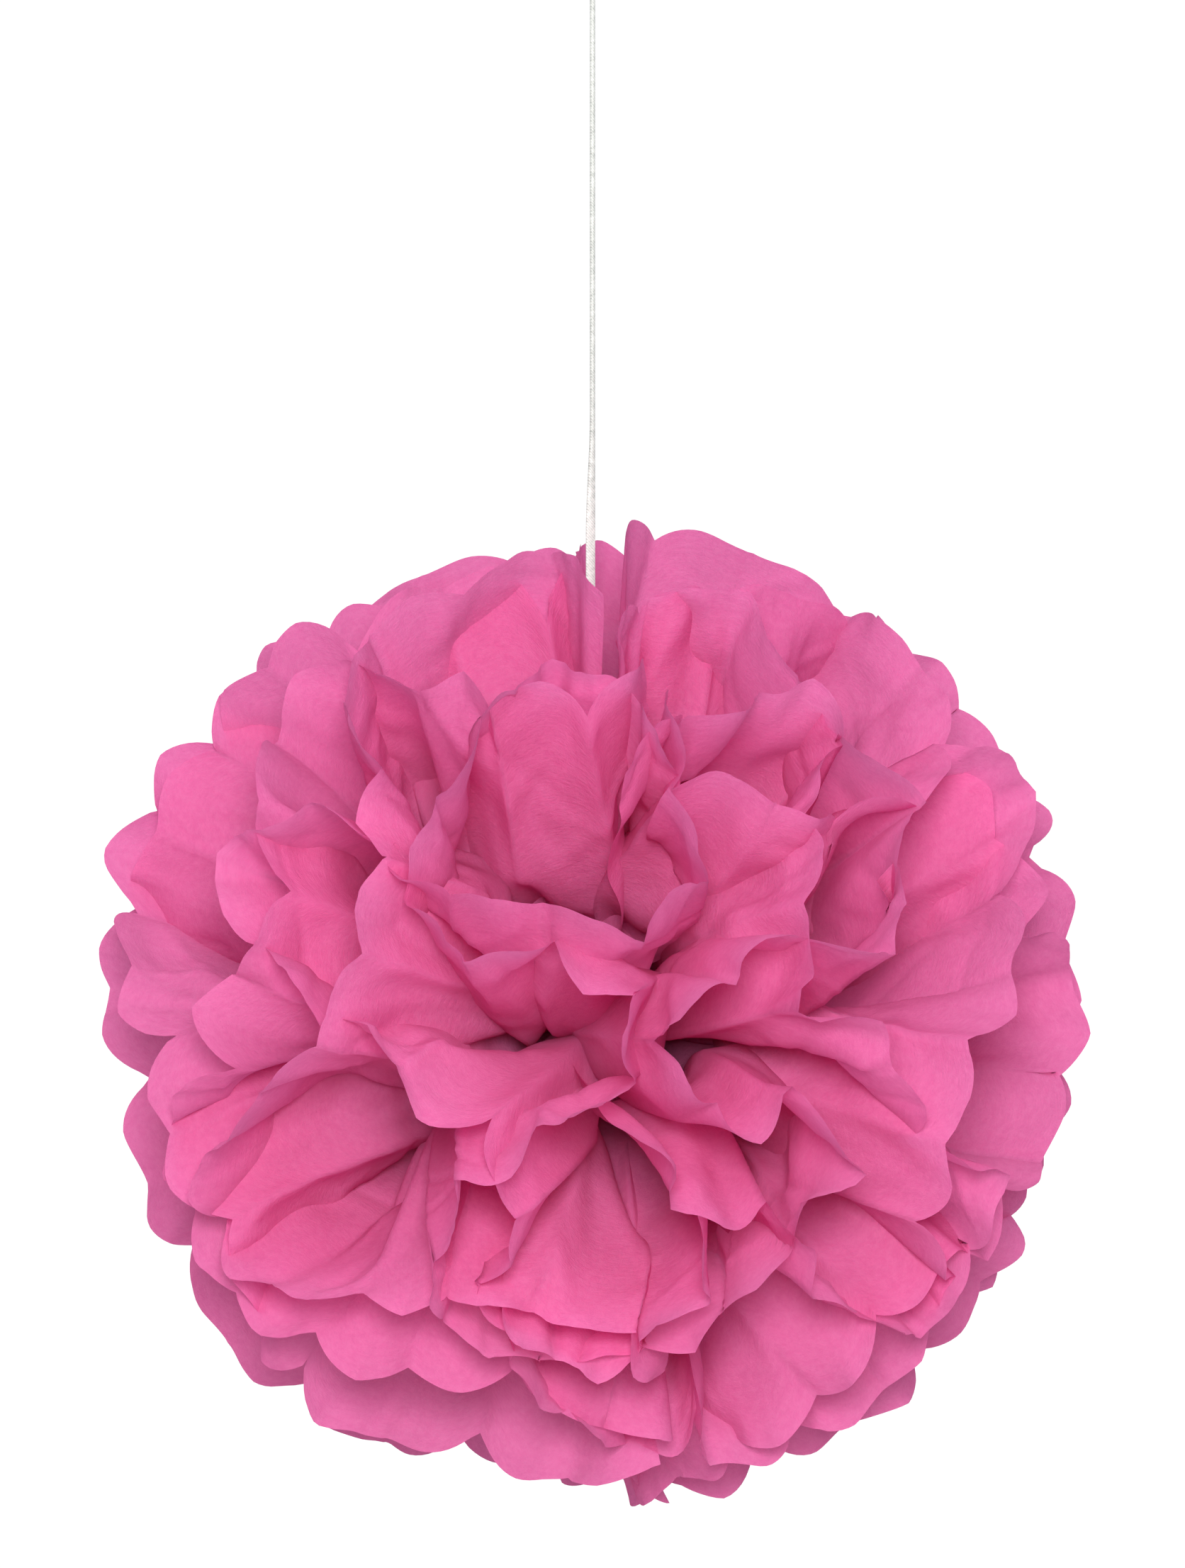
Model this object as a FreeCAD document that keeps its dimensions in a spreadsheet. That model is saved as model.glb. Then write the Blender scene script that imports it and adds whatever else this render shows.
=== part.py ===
import FreeCAD, Part

import math
import os

import Sketcher

# A tissue-paper pom-pom ball that hangs on a thin woven ribbon. Ten tissue sheets are
# accordion-folded together, tied round the middle with a soft wire, trimmed round at both
# ends of every pleat, and pulled apart one by one into a ball. Each sheet stays one piece:
# a left and a right fan of pleats, joined by a short flat waist under the wire.
#
# Frame: millimetres, +Z up. The origin is where a hook holds the ribbon's loop, on the
# inside of its top bend. The ball hangs straight below, its two flower centres along Y.

V = FreeCAD.Vector

DIMENSIONS = {
    # the ball and its sheets
    "ball_radius": 203.2,
    "ball_drop": 470.0,
    "sheet_count": 10,
    "sheet_width": 660.4,
    "pleats_per_fan": 17,
    "notch_depth": 9.0,
    "fan_half_angle": 85.0,
    "latitude_step": 16.0,
    "sheet_solid_thickness": 0.8,
    "sheet_pitch": 1.2,
    "waist_half_length": 3.6,
    "waist_half_height": 3.0,
    # the wire that ties the sheets, with its twisted stem and eye
    "wire_diameter": 0.9,
    "wire_clearance": 0.25,
    "wire_bend_radius": 1.0,
    "stem_height": 3.0,
    "stem_diameter": 1.7,
    "eye_radius": 2.6,
    # the ribbon, drawn as a cord, with its two knots and its loop
    "cord_diameter": 2.2,
    "cord_clearance": 0.1,
    "link_radius": 1.9,
    "link_knot_diameter": 5.8,
    "link_knot_lift": 3.5,
    "loop_drop": 40.0,
    "loop_knot_diameter": 6.8,
    "loop_width": 14.0,
    "loop_leg_spacing": 2.6,
}

doc = FreeCAD.newDocument("pompom")
dims = doc.addObject("Spreadsheet::Sheet", "dims")
for row, (alias, value) in enumerate(DIMENSIONS.items(), start=1):
    dims.set(f"A{row}", alias.replace("_", " "))
    dims.set(f"B{row}", str(value))
    dims.setAlias(f"B{row}", alias)
doc.recompute()


def size(alias):
    """A driving dimension, read back from the sheet."""
    return float(dims.get(alias))


# ---------------------------------------------------------------- tissue sheets


def pleat_swing(latitude):
    """Half the angle that a pleat swings either side of its sheet's latitude, in radians.

    It makes each pleat as wide at its trimmed end as the flat paper is: the fewer degrees
    of the circle a sheet has room for, the deeper its folds are."""
    rim = size("ball_radius") - size("notch_depth")
    pleat = size("sheet_width") / size("pleats_per_fan")
    step = math.radians(2 * size("fan_half_angle") / size("pleats_per_fan"))
    toward = 1 - pleat**2 / (2 * rim**2)
    swing = 2 * toward + math.cos(2 * latitude) * (1 - math.cos(step))
    return math.acos(swing / (1 + math.cos(step))) / 2


def on_ball(radius, side, turn, latitude):
    """A point of the ball: side is 1 for the right fan, -1 for the left, turn runs up from X."""
    return V(
        side * radius * math.cos(latitude) * math.cos(turn),
        radius * math.sin(latitude),
        radius * math.cos(latitude) * math.sin(turn),
    )


def fold_lines(side, latitude, depth, shift):
    """The fold lines of one fan, from top to bottom: a start at the waist and an end at the rim.

    shift is -0.5 for the sheet's front surface and 0.5 for its back surface."""
    pleats = int(size("pleats_per_fan"))
    rim = size("ball_radius") - size("notch_depth")
    thick = shift * size("sheet_solid_thickness")
    half_turn = math.radians(size("fan_half_angle"))
    swing = pleat_swing(latitude)
    starts, ends = [], []
    for k in range(pleats + 1):
        down = 1 - 2 * k / pleats
        fold = latitude + swing * (-1) ** k + thick / rim
        starts.append(
            V(
                side * size("waist_half_length"),
                depth + thick,
                down * size("waist_half_height"),
            )
        )
        ends.append(on_ball(rim, side, down * half_turn, fold))
    return starts, ends


def round_end(start, end, following):
    """The rounded end of one pleat, as an arc from one fold line's end to the next one's."""
    middle = (end + following) / 2
    outward = (middle - start).normalize()
    tip = middle + outward * (size("ball_radius") - middle.Length)
    return Part.Arc(end, tip, following).toShape()


def polygon_face(*corners):
    return Part.Face(Part.makePolygon([*corners, corners[0]]))


def pleat_faces(starts, ends):
    """Two flat faces for each pleat of a fan's surface, and the rounded ends as edges."""
    faces, rims = [], []
    for k in range(len(starts) - 1):
        rim = round_end(starts[k], ends[k], ends[k + 1])
        outline = [
            Part.makeLine(starts[k], ends[k]),
            rim,
            Part.makeLine(ends[k + 1], starts[k]),
        ]
        faces.append(Part.Face(Part.Wire(outline)))
        faces.append(polygon_face(starts[k], ends[k + 1], starts[k + 1]))
        rims.append(rim)
    return faces, rims


def fan_faces(side, latitude, depth):
    """The closed skin of one fan but for its open waist, and its two rows of waist points."""
    front_starts, front_ends = fold_lines(side, latitude, depth, -0.5)
    back_starts, back_ends = fold_lines(side, latitude, depth, 0.5)
    front, front_rims = pleat_faces(front_starts, front_ends)
    back, back_rims = pleat_faces(back_starts, back_ends)
    faces = front + back
    for edge, other in zip(front_rims, back_rims):
        faces.append(Part.makeRuledSurface(edge, other))
    for k in (0, -1):
        faces.append(polygon_face(front_starts[k], front_ends[k], back_ends[k]))
        faces.append(polygon_face(front_starts[k], back_ends[k], back_starts[k]))
    return faces, front_starts, back_starts


def tissue_sheet(latitude, depth):
    """One tissue sheet: a right fan, a left fan and the flat waist between them."""
    right, right_front, right_back = fan_faces(1, latitude, depth)
    left, left_front, left_back = fan_faces(-1, latitude, depth)
    waist = [
        polygon_face(*right_front, *reversed(left_front)),
        polygon_face(*right_back, *reversed(left_back)),
    ]
    for k in (0, -1):
        waist.append(
            polygon_face(right_front[k], right_back[k], left_back[k], left_front[k])
        )
    skin = Part.makeShell(right + left + waist)
    skin.sewShape()
    solid = Part.makeSolid(skin)
    if solid.Volume < 0:
        solid.reverse()
    return solid


def add_tissue_sheets():
    """The sheets from the front flower centre to the back one, nested, none touching."""
    made = []
    count = int(size("sheet_count"))
    for number in range(count):
        place = number - (count - 1) / 2
        sheet = doc.addObject("Part::Feature", f"tissue_sheet_{number + 1:02d}")
        sheet.Shape = tissue_sheet(
            math.radians(place * size("latitude_step")), place * size("sheet_pitch")
        )
        sheet.Placement = FreeCAD.Placement(
            V(0, 0, -size("ball_drop")), FreeCAD.Rotation()
        )
        made.append(sheet)
    return made


# ---------------------------------------------------------------- shared helpers


def origin_plane(body, role):
    return next(f for f in body.Origin.OriginFeatures if f.Role == role)


def new_body(name):
    body = doc.addObject("PartDesign::Body", name)
    body.Label = name
    return body


def new_sketch(body, name, role):
    """A sketch on one of the body's own origin planes."""
    sketch = body.newObject("Sketcher::SketchObject", name)
    sketch.AttachmentSupport = (origin_plane(body, role), [""])
    sketch.MapMode = "FlatFace"
    return sketch


def drive(sketch, name, formula, *constraint):
    """Adds a constraint whose value follows the sheet of dimensions."""
    index = sketch.addConstraint(Sketcher.Constraint(*constraint))
    sketch.renameConstraint(index, name)
    sketch.setExpression(f"Constraints.{name}", formula)


def place_at(feature, formula):
    """Puts a feature on the Z axis, at the height that the formula gives."""
    feature.setExpression(".Placement.Base.z", formula)


def solid_part(kind, name, **formulas):
    """A Part primitive whose sizes follow the sheet of dimensions."""
    feature = doc.addObject(f"Part::{kind}", name)
    for key, formula in formulas.items():
        feature.setExpression(key, formula)
    return feature


# Heights on the Z axis, as formulas of the sheet.
BALL = "-dims.ball_drop"
WIRE_LINE = "(dims.waist_half_height + dims.wire_clearance + dims.wire_diameter / 2)"
EYE_CENTRE = f"({WIRE_LINE} + dims.stem_height + dims.eye_radius)"
LINK_LINE = (
    f"({EYE_CENTRE} + dims.eye_radius"
    " - dims.cord_diameter / 2 - dims.wire_diameter / 2 - dims.cord_clearance)"
)
LINK_KNOT = f"({LINK_LINE} + dims.link_radius + dims.link_knot_lift)"
CORD_BOTTOM = (
    f"({BALL} + {LINK_KNOT} + dims.link_knot_diameter / 2 + dims.cord_clearance)"
)
LOOP_KNOT = "-dims.loop_drop"
CORD_TOP = f"({LOOP_KNOT} - dims.loop_knot_diameter / 2 - dims.cord_clearance)"
LEG_BOTTOM = f"({LOOP_KNOT} + dims.loop_knot_diameter / 2 + dims.cord_clearance)"


# ---------------------------------------------------------------- wire tie


def add_wire_tie():
    """A soft wire bent tight round the waists, its ends twisted into a stem with an eye."""
    ring = new_body("wire_ring")
    depth = size("sheet_pitch") * (size("sheet_count") - 1) / 2
    side = depth + size("sheet_solid_thickness") / 2
    side += size("wire_clearance") + size("wire_diameter") / 2
    rise = size("waist_half_height") + size("wire_clearance") + size("wire_diameter") / 2
    bend = size("wire_bend_radius")

    path = new_sketch(ring, "wire_path", "YZ_Plane")
    corners = [(side, rise), (-side, rise), (-side, -rise), (side, -rise)]
    edges = 2 * len(corners)
    for k, (y, z) in enumerate(corners):
        after_y, after_z = corners[(k + 1) % len(corners)]
        along = V(after_y - y, after_z - z, 0).normalize()
        begin = V(y, z, 0) + along * bend
        finish = V(after_y, after_z, 0) - along * bend
        path.addGeometry(Part.LineSegment(begin, finish), False)
        inward = V(-along.y, along.x, 0)
        centre = finish + inward * bend
        turn = math.atan2(-inward.y, -inward.x)
        circle = Part.Circle(centre, V(0, 0, 1), bend)
        path.addGeometry(Part.ArcOfCircle(circle, turn, turn + math.pi / 2), False)
    for k in range(edges):
        path.addConstraint(Sketcher.Constraint("Tangent", k, 2, (k + 1) % edges, 1))
        path.addConstraint(Sketcher.Constraint("Block", k))

    section = new_sketch(ring, "wire_section", "XZ_Plane")
    wire = size("wire_diameter") / 2
    section.addGeometry(Part.Circle(V(0, rise, 0), V(0, 0, 1), wire), False)
    drive(section, "wire", "dims.wire_diameter", "Diameter", 0, 1)
    section.addConstraint(Sketcher.Constraint("PointOnObject", 0, 3, -2))
    drive(section, "rise", WIRE_LINE, "DistanceY", -1, 1, 0, 3, 1)

    pipe = ring.newObject("PartDesign::AdditivePipe", "wire_pipe")
    pipe.Profile = (section, [""])
    pipe.Spine = (path, [f"Edge{k + 1}" for k in range(edges)])
    ring.setExpression(".Placement.Base.z", BALL)

    stem = solid_part(
        "Cylinder",
        "wire_stem",
        Radius="dims.stem_diameter / 2",
        Height="dims.stem_height + dims.wire_diameter / 2",
    )
    place_at(stem, f"{BALL} + {WIRE_LINE}")
    eye = solid_part(
        "Torus", "wire_eye", Radius1="dims.eye_radius", Radius2="dims.wire_diameter / 2"
    )
    eye.Placement.Rotation = FreeCAD.Rotation(V(0, 1, 0), 90)
    place_at(eye, f"{BALL} + {EYE_CENTRE}")
    return fused("wire_tie", ring, stem, eye)


def fused(name, *shapes):
    whole = doc.addObject("Part::MultiFuse", name)
    whole.Shapes = list(shapes)
    return whole


# ---------------------------------------------------------------- ribbon and knots


def add_cord_knot():
    """The knot that ties the ribbon through the wire's eye: a small link and a round knot."""
    link = solid_part(
        "Torus", "cord_link", Radius1="dims.link_radius", Radius2="dims.cord_diameter / 2"
    )
    link.Placement.Rotation = FreeCAD.Rotation(V(1, 0, 0), 90)
    place_at(link, f"{BALL} + {LINK_LINE} + dims.link_radius")
    knot = solid_part("Sphere", "cord_knot_ball", Radius="dims.link_knot_diameter / 2")
    place_at(knot, f"{BALL} + {LINK_KNOT}")
    return fused("cord_knot", link, knot)


def add_hanging_cord():
    """The straight run of ribbon, from the knot in the ball up to the loop's knot."""
    body = new_body("hanging_cord")
    section = new_sketch(body, "cord_section", "XY_Plane")
    round_cord = Part.Circle(V(0, 0, 0), V(0, 0, 1), size("cord_diameter") / 2)
    section.addGeometry(round_cord, False)
    section.addConstraint(Sketcher.Constraint("Coincident", 0, 3, -1, 1))
    drive(section, "cord", "dims.cord_diameter", "Diameter", 0, 2)
    section.setExpression(".AttachmentOffset.Base.z", CORD_BOTTOM)
    run = body.newObject("PartDesign::Pad", "cord_run")
    run.Profile = section
    run.setExpression("Length", f"{CORD_TOP} - {CORD_BOTTOM}")
    return body


def add_loop_knot():
    """The overhand knot that closes the loop."""
    knot = solid_part("Sphere", "loop_knot", Radius="dims.loop_knot_diameter / 2")
    place_at(knot, LOOP_KNOT)
    return knot


def add_hanging_loop():
    """The loop that goes over a hook: two straight legs and a round top bend."""
    body = new_body("hanging_loop")
    bend = size("loop_width") / 2
    top = size("cord_diameter") / 2 - bend
    foot_x = size("loop_leg_spacing") / 2
    foot_z = -size("loop_drop") + size("loop_knot_diameter") / 2 + size("cord_clearance")
    away = V(-foot_x, top - foot_z, 0)
    lean = math.atan2(away.y, away.x) - math.asin(bend / away.Length)
    leg = math.sqrt(away.Length**2 - bend**2)
    touch_x = foot_x + leg * math.cos(lean)
    touch_z = foot_z + leg * math.sin(lean)
    start = math.atan2(touch_z - top, touch_x)

    path = new_sketch(body, "loop_path", "XZ_Plane")
    circle = Part.Circle(V(0, top, 0), V(0, 0, 1), bend)
    left = Part.LineSegment(V(-foot_x, foot_z, 0), V(-touch_x, touch_z, 0))
    right = Part.LineSegment(V(touch_x, touch_z, 0), V(foot_x, foot_z, 0))
    path.addGeometry(left, False)
    path.addGeometry(Part.ArcOfCircle(circle, start, math.pi - start), False)
    path.addGeometry(right, False)
    path.addConstraint(Sketcher.Constraint("Tangent", 0, 2, 1, 2))
    path.addConstraint(Sketcher.Constraint("Tangent", 1, 1, 2, 1))
    path.addConstraint(Sketcher.Constraint("PointOnObject", 1, 3, -2))
    drive(path, "bend", "dims.loop_width / 2", "Radius", 1, bend)
    drive(
        path,
        "top",
        "dims.loop_width / 2 - dims.cord_diameter / 2",
        "DistanceY",
        1,
        3,
        -1,
        1,
        -top,
    )
    drive(path, "foot", f"-{LEG_BOTTOM}", "DistanceY", 0, 1, -1, 1, -foot_z)
    drive(path, "spread", "dims.loop_leg_spacing", "DistanceX", 0, 1, 2, 2, 2 * foot_x)
    path.addConstraint(Sketcher.Constraint("Symmetric", 0, 1, 2, 2, -2))

    section = new_sketch(body, "loop_section", "XY_Plane")
    round_cord = Part.Circle(V(-foot_x, 0, 0), V(0, 0, 1), size("cord_diameter") / 2)
    section.addGeometry(round_cord, False)
    section.addConstraint(Sketcher.Constraint("PointOnObject", 0, 3, -1))
    drive(section, "cord", "dims.cord_diameter", "Diameter", 0, 2)
    drive(
        section, "leg", "dims.loop_leg_spacing / 2", "DistanceX", 0, 3, -1, 1, foot_x
    )
    section.setExpression(".AttachmentOffset.Base.z", LEG_BOTTOM)

    pipe = body.newObject("PartDesign::AdditivePipe", "loop_pipe")
    pipe.Profile = (section, [""])
    pipe.Spine = (path, ["Edge1", "Edge2", "Edge3"])
    return body


# ---------------------------------------------------------------- build and export


def check(pieces):
    """Stops if any object failed to build, or if a piece isn't a whole, valid solid."""
    for feature in doc.Objects:
        if {"Invalid", "Error"} & set(feature.State):
            raise RuntimeError(f"{feature.Label} failed: {feature.State}")
    for piece in pieces:
        shape = piece.Shape
        if shape.isNull() or not shape.isValid() or not shape.Solids:
            raise RuntimeError(f"{piece.Label} isn't a valid solid")
        box = shape.BoundBox
        print(
            f"{piece.Label}: {len(shape.Solids)} solid, {shape.Volume / 1000:.3f} cm3,"
            f" x {box.XMin:.1f}..{box.XMax:.1f}, y {box.YMin:.1f}..{box.YMax:.1f},"
            f" z {box.ZMin:.1f}..{box.ZMax:.1f}"
        )


def main():
    pieces = add_tissue_sheets()
    pieces.append(add_wire_tie())
    pieces.append(add_cord_knot())
    pieces.append(add_hanging_cord())
    pieces.append(add_loop_knot())
    pieces.append(add_hanging_loop())
    doc.recompute()
    check(pieces)
    os.makedirs("parts", exist_ok=True)
    for piece in pieces:
        piece.Shape.exportStep(f"parts/{piece.Label}.step")


main()
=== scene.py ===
import math

import bpy
import numpy as np
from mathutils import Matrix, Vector


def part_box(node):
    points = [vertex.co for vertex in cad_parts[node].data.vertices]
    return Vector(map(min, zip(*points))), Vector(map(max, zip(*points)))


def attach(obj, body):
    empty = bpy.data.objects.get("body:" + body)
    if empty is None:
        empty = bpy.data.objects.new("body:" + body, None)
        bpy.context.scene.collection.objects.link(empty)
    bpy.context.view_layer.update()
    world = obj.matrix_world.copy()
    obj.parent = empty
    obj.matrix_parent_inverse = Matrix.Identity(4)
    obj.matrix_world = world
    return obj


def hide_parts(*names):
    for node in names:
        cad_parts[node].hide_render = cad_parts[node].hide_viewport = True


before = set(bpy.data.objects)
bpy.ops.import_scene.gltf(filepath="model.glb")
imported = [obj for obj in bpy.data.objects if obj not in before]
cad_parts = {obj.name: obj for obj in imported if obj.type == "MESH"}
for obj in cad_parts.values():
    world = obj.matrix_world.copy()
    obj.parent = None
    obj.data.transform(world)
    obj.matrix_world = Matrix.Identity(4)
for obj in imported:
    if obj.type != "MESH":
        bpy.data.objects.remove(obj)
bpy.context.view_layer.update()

# A fluffed tissue-paper pom-pom that hangs on a white ribbon, in metres, +Z up. Each of
# the ten sheets is one piece of pleated paper, gathered at a short waist under a wire tie.
# Its two halves are fans that a small paper simulation spreads over the ball.

# ------------------------------------------------------------------ sizes

SHEETS = 10
FANS = 2 * SHEETS
PLEATS = 17  # in each fan
SHEET_WIDTH = 0.6604  # across all the pleats
PLEAT_WIDTH = SHEET_WIDTH / PLEATS
BALL_RADIUS = 0.2032
NOTCH = 0.009  # how far the pleats' inner folds are trimmed back
HALF_TURN = math.radians(85)  # of a fan, up and down from level
LATITUDE_STEP = math.radians(16)  # between one sheet and the next
SHEET_PITCH = 0.0012
WAIST_HALF_LENGTH = 0.0036
WAIST_HALF_HEIGHT = 0.003

RIBBON_WIDTH = 0.0022
FLAT_RIBBON_WIDTH = 0.0038


def sheet_node(number):
    return f"tissue_sheet_{number + 1:02d}"


def middle(*nodes):
    """The middle of the box that holds these CAD nodes."""
    corners = [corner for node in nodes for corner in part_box(node)]
    low = [min(corner[axis] for corner in corners) for axis in range(3)]
    high = [max(corner[axis] for corner in corners) for axis in range(3)]
    return Vector(low).lerp(Vector(high), 0.5)


BALL_CENTRE = middle(*[sheet_node(number) for number in range(SHEETS)])

# Each fan's sheet, its side of the ball (1 right, -1 left) and its place from front to back.
SHEET_OF_FAN = np.arange(FANS) // 2
SIDE = 1.0 - 2 * (np.arange(FANS) % 2)
PLACE = SHEET_OF_FAN - (SHEETS - 1) / 2
LATITUDE = PLACE * LATITUDE_STEP
TOWARD_POLE = np.abs(PLACE) / PLACE.max()


TINY = 1e-9  # metres, so that nothing is divided by nought


def smooth(low, high, value):
    """0 at low, 1 at high, and an even ramp between."""
    part = np.clip((value - low) / (high - low), 0, 1)
    return part * part * (3 - 2 * part)


# ------------------------------------------------------------------ the paper, simulated

SEED = 4
STEPS = 200
ROWS = 24  # of grid cells, from the waist to the rim
CELLS = 4  # across one pleat
COLUMNS = PLEATS * CELLS
ROW_STEP = BALL_RADIUS / ROWS
SHARE = np.linspace(0, 1, ROWS + 1)  # of the way from the waist to the rim
PLEAT = np.linspace(0, PLEATS, COLUMNS + 1)  # pleats counted down the fan
GATHERED_SHARE = 0.45  # nearer the waist than this, the pleats lie in each other
WAIST_SHARE = 0.01  # how much width the pleats keep at the waist itself
CELL_WIDTH = PLEAT_WIDTH / CELLS * np.minimum(1, (SHARE + WAIST_SHARE) / GATHERED_SHARE)
DIAGONAL = np.hypot(ROW_STEP, (CELL_WIDTH[1:] + CELL_WIDTH[:-1]) / 2)
FIRM_SHARE = 0.35  # the fluffing hand does not reach in past here
LOOSE = smooth(FIRM_SHARE, 1.0, SHARE)

MOMENTUM = 0.8
LIFT = 0.05
LIFTED_SHARE = 0.99  # of the paper's full reach
LIFT_BEGINS, LIFT_FULL = 0.3, 0.7
TOUCHES_FADE = 3.0  # the hand is this many times e gentler by the end
PETAL_PUSH = 0.0012
MIDDLE_PUSH = 1.9
POLE_PUSH = 1.6
PETAL_TWIST = 0.3
PETAL_PLEATS = (2.5, 3, 3.5, 4)
PETAL_STRENGTH = (0.5, 1.2)
POLE_PLEATS = 2.4
SPREAD_TURN = math.radians(93)
SPREAD_SLACK = math.radians(8)
SPREAD_PULL = 0.004
TIER_SLACK = math.radians(5)
TIER_PULL = 0.004
SLOT_PLEATS = 2.5  # of each fan's end are drawn over the ball's top and bottom
SLOT_PULL = 0.02
SLOT_LONGEST_MOVE = 0.0006
TOP_GAP = 0.004  # either side of the ribbon
TOP_CROSSING = (-0.006, 0.012)
CROSSING_FROM = 0.5  # of the way to the front or back
BOTTOM_CROSSING = (0.004, 0.024)
PAPER_PASSES = 3
SHEAR_STIFFNESS = 0.8
FOLD_STIFFNESS = 0.15
FOLD_SPREAD = 0.6  # how flat a fold lies: 1 is quite flat
PANEL_STIFFNESS = 0.2
PETAL_STIFFNESS = 0.1
PETAL_ROUNDNESS = 0.8
SPINE_STIFFNESS = 0.5
LAYER_GAP = 0.0085
LAYER_REACH = 0.0115
LAYER_FIRMNESS = 0.35
LAYER_GAP_AT_WAIST = 0.25  # of the full gap
LAYERS_MEET = 0.33  # nearer the waist than this share, layers are left alone
LAYER_GAP_FULL = 0.8
SEARCH_EVERY = 8  # steps
RIBBON_ROOM = 0.005
NOD_SLOPE = 0.3  # the ball nods this far either side of the ribbon
FRONT_SLOPE = 0.55  # in front the petals lean out further still
SLOT_FLARE = 0.14  # how fast the slot widens on its left towards the front
SLOT_EDGE = 0.004
SLOT_FLOOR = 0.015  # above the tie
SLOT_OPENING = 0.5  # of what is short, at each step


def pleat_swing(latitude):
    """Half the angle that a pleat swings either side of its sheet's latitude."""
    step = 2 * HALF_TURN / PLEATS
    toward = 1 - PLEAT_WIDTH**2 / (2 * (BALL_RADIUS - NOTCH) ** 2)
    swing = 2 * toward + math.cos(2 * latitude) * (1 - math.cos(step))
    return math.acos(swing / (1 + math.cos(step))) / 2


def evenly_pleated():
    """The fans before they are fluffed, about the ball's centre: fan, row, column, axis."""
    fold = np.arange(PLEATS + 1)
    down = 1 - 2 * fold / PLEATS
    points = np.zeros((FANS, ROWS + 1, COLUMNS + 1, 3))
    for fan in range(FANS):
        latitude = LATITUDE[fan] + pleat_swing(LATITUDE[fan]) * (-1.0) ** fold
        turn = down * HALF_TURN
        start = np.stack(
            [
                np.full(PLEATS + 1, SIDE[fan] * WAIST_HALF_LENGTH),
                np.full(PLEATS + 1, PLACE[fan] * SHEET_PITCH),
                down * WAIST_HALF_HEIGHT,
            ],
            axis=-1,
        )
        end = BALL_RADIUS * np.stack(
            [
                SIDE[fan] * np.cos(latitude) * np.cos(turn),
                np.sin(latitude),
                np.cos(latitude) * np.sin(turn),
            ],
            axis=-1,
        )
        for axis in range(3):
            near = np.interp(PLEAT, fold, start[:, axis])
            far = np.interp(PLEAT, fold, end[:, axis])
            points[fan, :, :, axis] = near + np.outer(SHARE, far - near)
    return points


def petal_waves(rng):
    """How far each place down each fan is pushed to and fro, so that pleats join in petals."""
    fine_places = 200
    place = np.linspace(0, PLEATS, fine_places)
    waves = np.zeros((FANS, COLUMNS + 1))
    for fan in range(FANS):
        wave = np.zeros(fine_places)
        cuts = [0]
        while cuts[-1] < PLEATS:
            petal = rng.choice(PETAL_PLEATS) + POLE_PLEATS * TOWARD_POLE[fan] ** 2
            cuts.append(cuts[-1] + petal)
        sign = rng.choice([-1, 1])
        for begin, end in zip(cuts[:-1], cuts[1:]):
            inside = (place >= begin) & (place <= end)
            bulge = np.sin(np.pi * (place[inside] - begin) / (end - begin))
            wave[inside] += sign * bulge * rng.uniform(*PETAL_STRENGTH)
            sign = -sign
        waves[fan] = np.interp(PLEAT, place, wave)
    return waves


def pull(points, first, second, rest, strength, only_push=False):
    """Moves pairs of grid points towards their rest distance."""
    gap = points[second] - points[first]
    length = np.sqrt(np.einsum("...i,...i->...", gap, gap)) + TINY
    error = length - rest
    if only_push:
        error = np.minimum(error, 0)
    gap *= (0.5 * strength * error / length)[..., None]
    points[first] += gap
    points[second] -= gap


def close_pairs(place, reach):
    """Pairs of points nearer than reach, found through a grid of cells of that size."""
    cell = np.floor(place / reach).astype(np.int64)
    cell -= cell.min(0) - 1
    size = cell.max(0) + 2
    key = (cell[:, 0] * size[1] + cell[:, 1]) * size[2] + cell[:, 2]
    order = np.argsort(key, kind="stable")
    key = key[order]
    where = place[order]
    index = np.arange(len(key))
    found_first, found_second = [], []
    for x, y in ((0, 0), (0, 1), (1, -1), (1, 0), (1, 1)):
        shift = (x * size[1] + y) * size[2]
        if shift:
            low = np.searchsorted(key, key + shift - 1, "left")
            high = np.searchsorted(key, key + shift + 1, "right")
        else:
            low = index + 1
            high = np.searchsorted(key, key + 1, "right")
        many = np.maximum(high - low, 0)
        first = np.repeat(index, many)
        begun = np.repeat(np.cumsum(many) - many, many)
        second = np.arange(len(first)) - begun + np.repeat(low, many)
        gap = where[first] - where[second]
        near = np.einsum("ij,ij->i", gap, gap) < reach * reach
        found_first.append(order[first[near]])
        found_second.append(order[second[near]])
    return np.concatenate(found_first), np.concatenate(found_second)


def round_ball(points):
    """Unit vectors out from the centre, north (to the back) and east, at every point."""
    length = np.linalg.norm(points, axis=-1, keepdims=True) + TINY
    out = points / length
    north = np.zeros_like(points)
    north[..., 1] = 1
    north -= out * out[..., 1:2]
    return length[..., 0], out, north, np.cross(out, north)


def past(value, slack):
    """What is left of value beyond a dead zone of slack either side of 0."""
    return np.sign(value) * np.maximum(np.abs(value) - slack, 0)


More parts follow.
